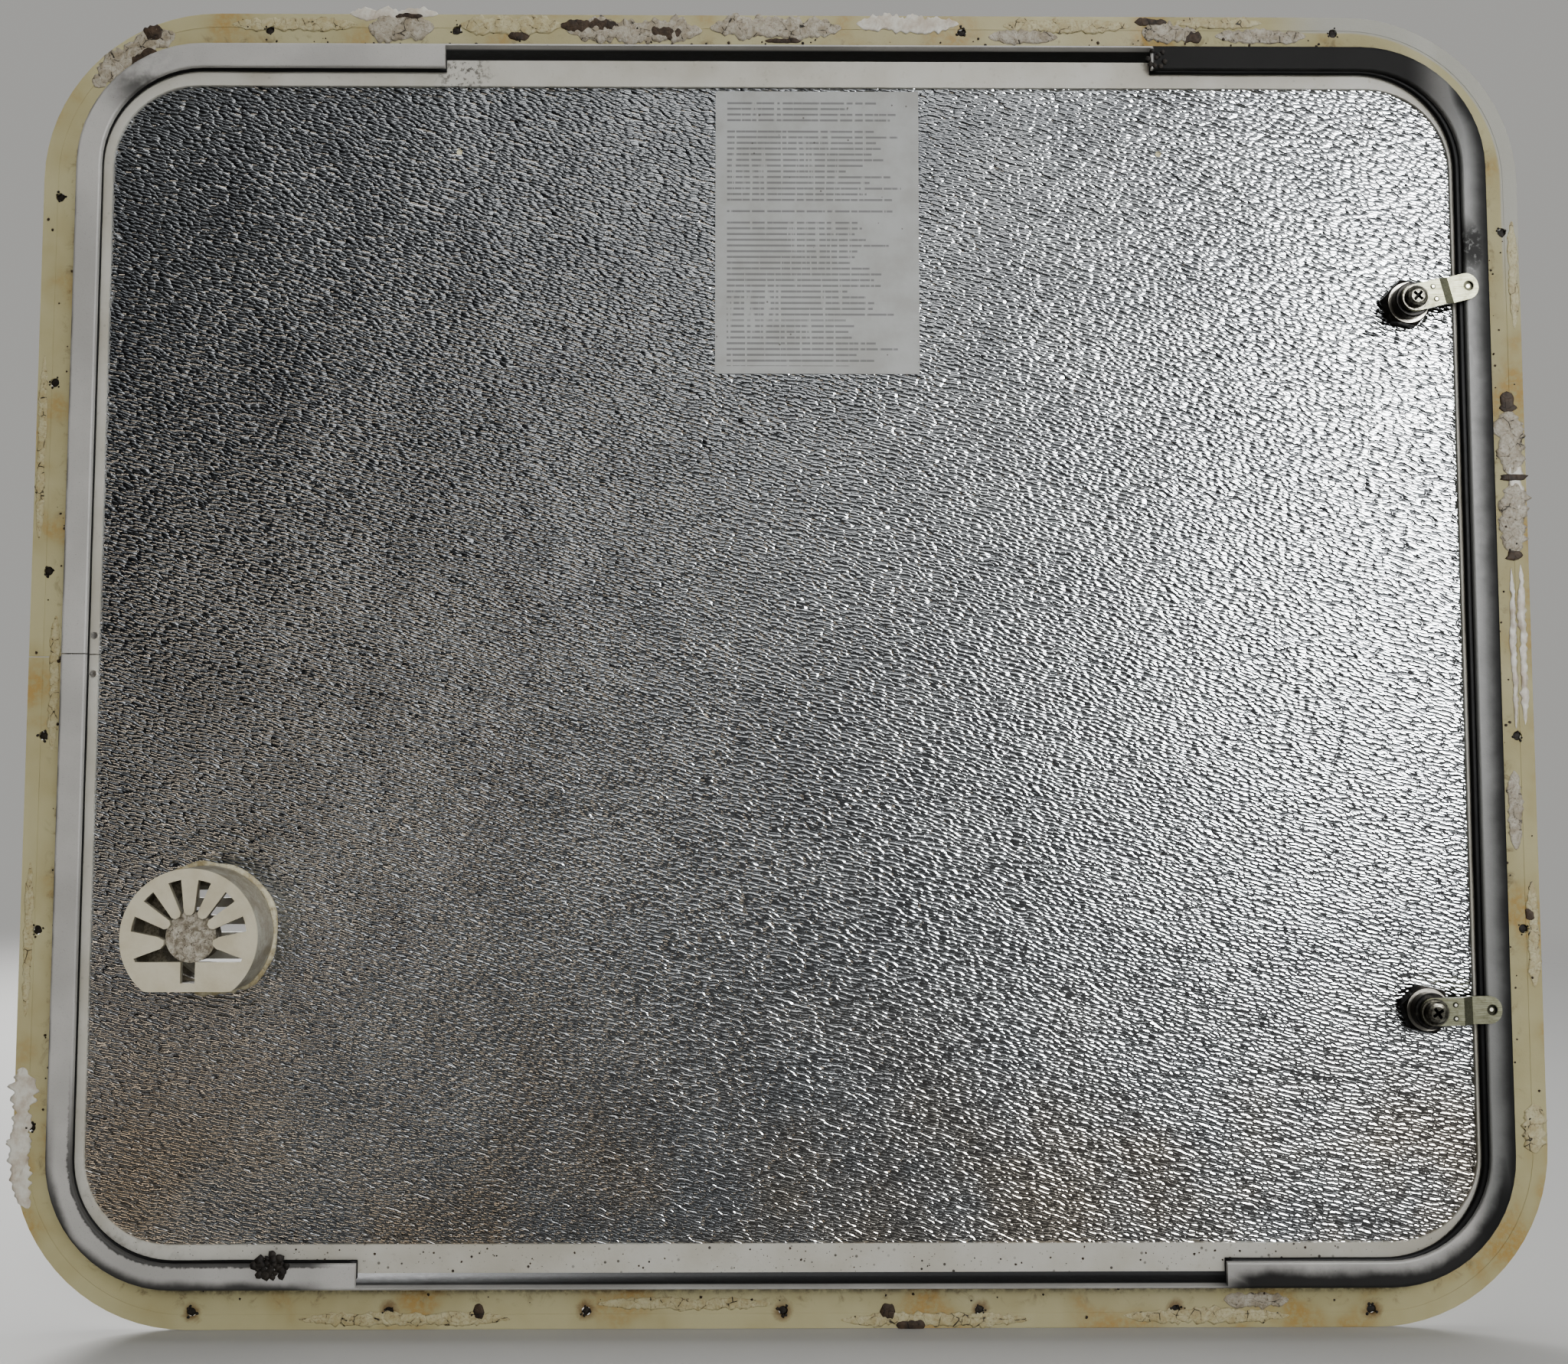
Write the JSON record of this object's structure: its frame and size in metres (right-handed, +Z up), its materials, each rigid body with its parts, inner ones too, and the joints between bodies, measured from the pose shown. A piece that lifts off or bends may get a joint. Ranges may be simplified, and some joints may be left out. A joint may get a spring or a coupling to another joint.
{
  "type": "vented compartment access door",
  "caption": "Side-hinged access door in its screw-on frame, for a caravan or motorhome wall, with cam latches, an embossed metal liner, a round vent and gaps for air over and under the door.",
  "frame": {"origin": "centre of the frame, on the back face of the screw flange, where it seats on the vehicle's outer skin", "axes": "+Z up as fitted, +Y into the vehicle, +X towards the hinge"},
  "size_m": [0.798, 0.0473, 0.699],
  "materials": {
    "frame_paint": "white and cream paint, aged, with dark overspray",
    "bare_aluminium": "mill finish",
    "rivet_metal": "bright",
    "seal_rubber": "black, soft sheen",
    "hinge_metal": "mill finish",
    "pin_steel": "drawn wire",
    "outer_skin": "smooth white paint",
    "foam": "rigid foam",
    "embossed_skin": "pebble embossed, bright",
    "trim_paint": "white paint, speckled with dirt",
    "label": "matt, blank",
    "vent_plastic": "aged white",
    "sealant": "aged, greyed",
    "screw_steel": "dark zinc",
    "lock_zinc": "blackened zinc",
    "nut_steel": "dark zinc",
    "cam_zinc": "yellowish zinc plate"
  },
  "bodies": {
    "frame": {"frame_ring": "frame_paint", "frame_splice_plate": "bare_aluminium", "frame_splice_rivets": "rivet_metal", "lip_seal_hinge_side": "seal_rubber", "lip_seal_latch_side": "seal_rubber", "hinge_leaf_frame": "hinge_metal", "hinge_pin": "pin_steel", "hinge_rivets_frame": "rivet_metal"},
    "door": {"door_outer_skin": "outer_skin", "door_foam_core": "foam", "door_inner_skin": "embossed_skin", "door_edge_trim": "trim_paint", "door_trim_rivets": "rivet_metal", "blank_label": "label", "hinge_leaf_door": "hinge_metal", "hinge_rivets_door": "rivet_metal", "vent_housing": "vent_plastic", "vent_hub": "vent_plastic", "vent_sealant": "sealant", "vent_outer_cover": "vent_plastic", "vent_cover_screws": "screw_steel", "upper_lock_body": "lock_zinc", "upper_lock_gasket": "seal_rubber", "upper_lock_nut": "nut_steel", "lower_lock_body": "lock_zinc", "lower_lock_gasket": "seal_rubber", "lower_lock_nut": "nut_steel"},
    "upper_cam": {"upper_lock_plug": "lock_zinc", "upper_lock_cam": "cam_zinc", "upper_cam_washer": "screw_steel", "upper_cam_screw": "screw_steel"},
    "lower_cam": {"lower_lock_plug": "lock_zinc", "lower_lock_cam": "cam_zinc", "lower_cam_washer": "screw_steel", "lower_cam_screw": "screw_steel"}
  },
  "joints": [
    {"name": "door_swing", "type": "hinge", "parent": "frame", "child": "door", "pos_m": [0.3699, -0.00535, 0], "axis": [0, 0, 1], "range_deg": [0, 175]},
    {"name": "upper_cam_turn", "type": "hinge", "parent": "door", "child": "upper_cam", "pos_m": [-0.3293, 0, 0.184], "axis": [0, 1, 0], "range_deg": [-14.5, 75.5]},
    {"name": "lower_cam_turn", "type": "hinge", "parent": "door", "child": "lower_cam", "pos_m": [-0.3293, 0, -0.184], "axis": [0, 1, 0], "range_deg": [-1, 89]}
  ]
}
